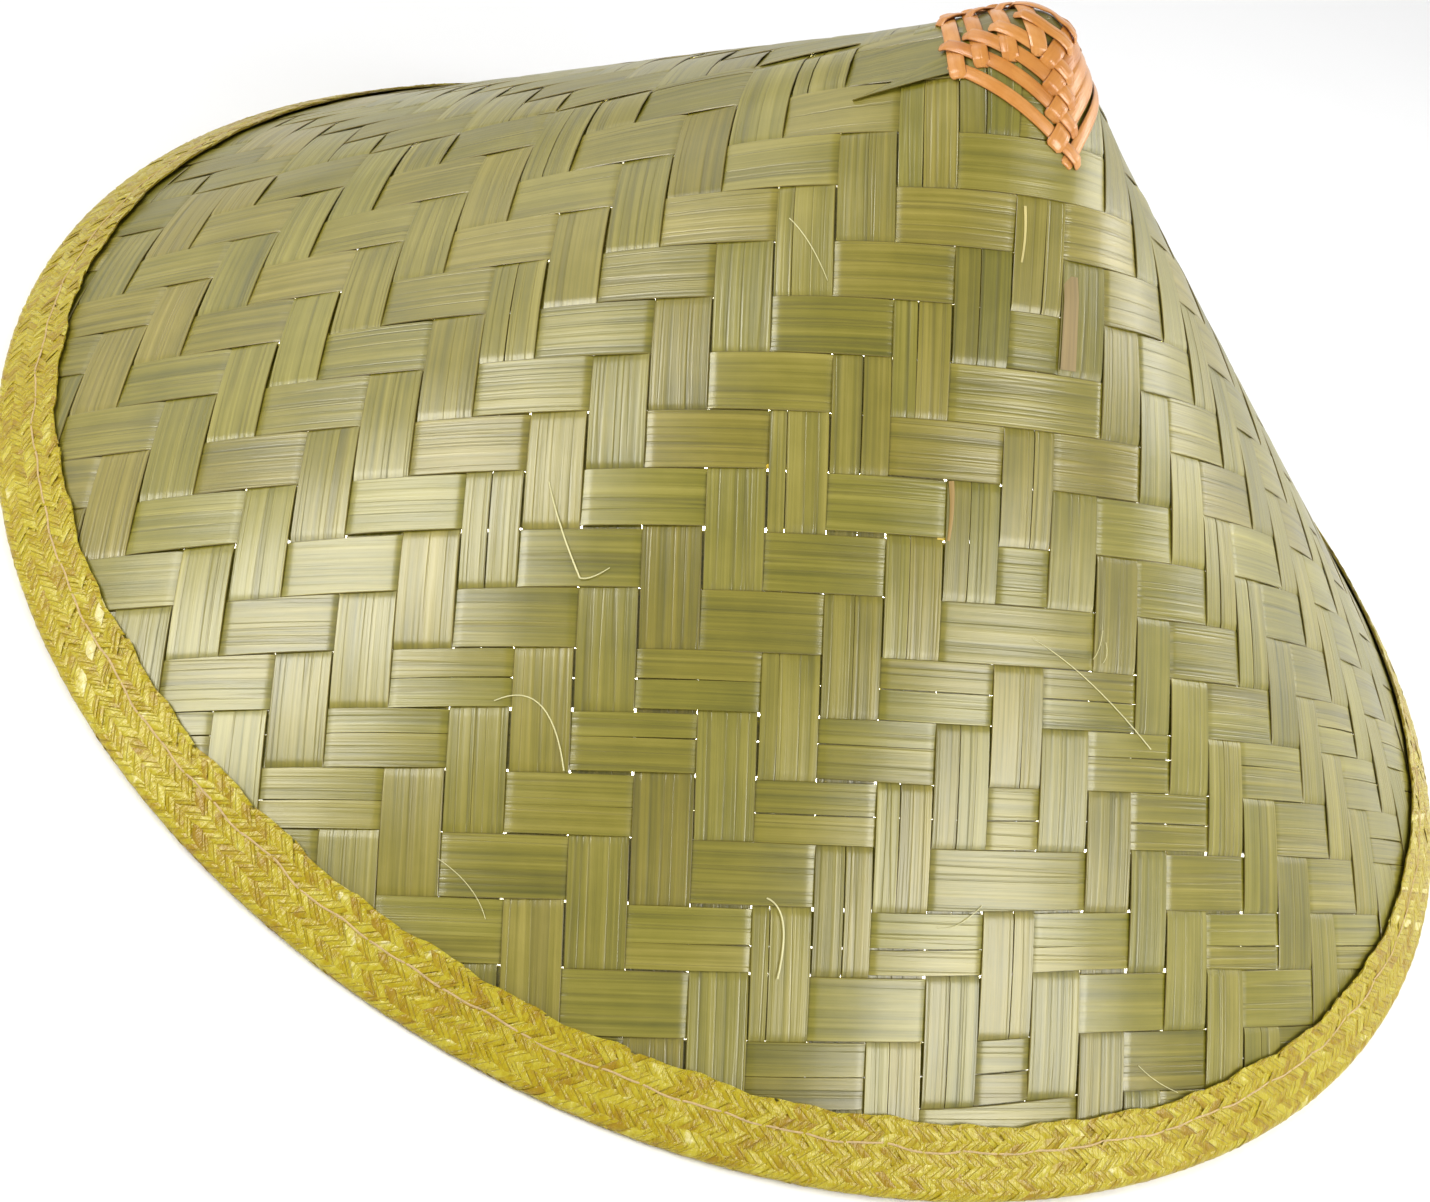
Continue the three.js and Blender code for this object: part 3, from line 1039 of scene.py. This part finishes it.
stripLook = {
    # dark, middle and pale dye, each with its place on the scale of tones
    "ramp": ((0.05, (0.40, 0.125, 0.014)), (0.5, (0.56, 0.225, 0.040)), (0.95, (0.72, 0.36, 0.12))),
    # the strips' sides: painted shade, a dark outline along each strip's edge
    "flank": (0.20, 0.055, 0.008),
    "toneShares": (0.7, 0.8),       # of the streaks and the mottling
    "heightShares": (1.0, -0.3),    # of the ridges and the lines
    "bump": (0.0002, 0.5),          # distance and strength
    "roughness": 0.30,
    "fibres": {"Streak Scale": 700, "Line Scale": 400, "Ridge Scale": 1800, "Mottle Scale": 170,
               "Stretch": 0.06},
}


def stripMaterial(look):
    material, shader = newMaterial("orangeStrip")
    tree = material.node_tree
    streaks, lines, ridges, mottle = fibreMasks(tree, look["fibres"])
    total = variedTone(tree, readAttribute(tree, "tone"), zip((streaks, mottle), look["toneShares"]))
    colour = addRamp(tree, total, look["ramp"])
    # painted shade: the sides of each strip take the dark flank colour
    colour = mixColour(tree, readAttribute(tree, "flank"), colour, (*look["flank"], 1))
    tree.links.new(colour, shader.inputs["Base Color"])
    shader.inputs["Roughness"].default_value = look["roughness"]
    height = weighed(tree, zip((ridges, lines), look["heightShares"]))
    linkBump(tree, shader, height, *look["bump"])
    return material


# the slips fold over one another at the apex. Under the patch they are one thin cap
cap = {
    "reach": (0.02, 1.25),        # from its small hole to its rim, in pitches
    "lifts": (0.0006, 0.0001),    # of its top and its underside
    "turns": 32,
    "rings": 8,
    # painted shade: a low tone and most of the slips' dark side colour make the cap read as deep shade in
    # the holes of the patch
    "tone": 0.3,
    "flank": 0.6,
}


def tipParts():
    # point(turn, reach) = the nose at that slant distance, lifted to the top or the underside of the cap
    count, rings = cap["turns"], cap["rings"]
    around = np.linspace(0, 2 * np.pi, count + 1)[:-1]
    turns, reach = np.meshgrid(around, np.linspace(*cap["reach"], rings) * pitch, indexing="ij")
    points = [onProfile(np.sin(turns), -np.cos(turns), reach, lift) for lift in cap["lifts"]]
    size = turns.size
    i, c = np.meshgrid(np.arange(count), np.arange(rings - 1), indexing="ij")
    here, after = i * rings + c, (i + 1) % count * rings + c
    face = np.stack([here, here + 1, after + 1, after], axis=-1).reshape(-1, 4)
    rims = []
    for k in (rings - 1, 0):
        here = np.arange(count) * rings + k
        after = np.roll(here, -1)
        rims.append(np.stack([here, here + size, after + size, after], axis=-1))
    return [{
        "points": np.concatenate([layer.reshape(-1, 3) for layer in points]),
        "quads": np.concatenate([face, face[:, ::-1] + size, rims[0], rims[1][:, ::-1]]),
        "along": np.tile(reach.ravel(), 2),
        "across": np.tile(turns.ravel() * 0.004, 2),
        "flank": np.full(2 * size, cap["flank"]),
        "aside": np.ones(2 * size),
        "tone": np.full(2 * size, cap["tone"]),
    }]


tip = makePiece("crownTip", tipParts(), bamboo)
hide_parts("woven_crown")

orange = stripMaterial(stripLook)
strips = makePiece("apexStrips", stripParts(), orange, sharp=False)
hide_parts(*[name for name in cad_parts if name.startswith("apex_strip")])
print("apex patch made")


# plain pale floor and soft studio light
studio = {
    "floor": (0.96, 0.96, 0.96),
    "world": 0.60,
    "lights": (
        # name, place, what it points at, width and height, power, and what it is seen by
        ("leftSoftbox", (-0.45, -0.35, 0.455), (-0.06, -0.13, 0.05), (0.3, 0.3), 2.4, "diffuse"),
        ("rightSoftbox", (0.49, -0.34, 0.416), (0.07, -0.13, 0.04), (0.3, 0.3), 2.1, "diffuse"),
        ("backSoftbox", (0.60, 0.265, 0.223), (0.12, -0.05, 0.06), (0.2, 0.2), 1.8, "diffuse"),
        ("leftFill", (-1.3, 0.55, 0.8), (0.0, 0.0, 0.06), (1.0, 1.0), 5.4, "both"),
        ("leftCard", (-0.51, -0.31, 0.41), (-0.08, -0.14, 0.03), (0.30, 0.30), 4.2, "glossy"),
        ("rightCard", (0.524, -0.302, 0.412), (0.08, -0.14, 0.04), (0.32, 0.32), 4.1, "glossy"),
        ("backCard", (0.49, 0.33, 0.318), (0.07, -0.03, 0.09), (0.20, 0.20), 1.0, "glossy"),
        ("backdropCard", (0.3, 1.1, 0.42), (0.05, 0.0, 0.08), (2.6, 0.9), 7.5, "glossy"),
    ),
    "insidePower": 1.4,
}


def makeFloor(colour):
    size = 3.0
    corners = [(-size, -size, 0), (size, -size, 0), (size, size, 0), (-size, size, 0)]
    mesh = bpy.data.meshes.new("floor")
    mesh.from_pydata(corners, [], [(0, 1, 2, 3)])
    material, shader = newMaterial("paleFloor")
    shader.inputs["Base Color"].default_value = (*colour, 1)
    shader.inputs["Roughness"].default_value = 0.9
    mesh.materials.append(material)
    floor = bpy.data.objects.new("floor", mesh)
    bpy.context.scene.collection.objects.link(floor)


def makeLight(name, place, target, size, power, seenBy="both"):
    data = bpy.data.lights.new(name, "AREA")
    data.shape = "RECTANGLE"
    data.size, data.size_y = size
    data.energy = power
    light = bpy.data.objects.new(name, data)
    bpy.context.scene.collection.objects.link(light)
    light.location = place
    light.visible_diffuse = seenBy != "glossy"
    light.visible_glossy = seenBy != "diffuse"
    light.rotation_euler = (Vector(target) - Vector(place)).to_track_quat("-Z", "Y").to_euler()


makeFloor(studio["floor"])
for light in studio["lights"]:
    makeLight(*light)
makeLight("insideLight", (0, 0, 0.11), (0, 0, 0), (0.04, 0.04), studio["insidePower"])
world = bpy.data.worlds.new("studio")
world.use_nodes = True
world.node_tree.nodes["Background"].inputs["Color"].default_value = (1, 1, 1, 1)
world.node_tree.nodes["Background"].inputs["Strength"].default_value = studio["world"]
bpy.context.scene.world = world
bpy.context.scene.view_settings.view_transform = "Standard"
print("studio set")
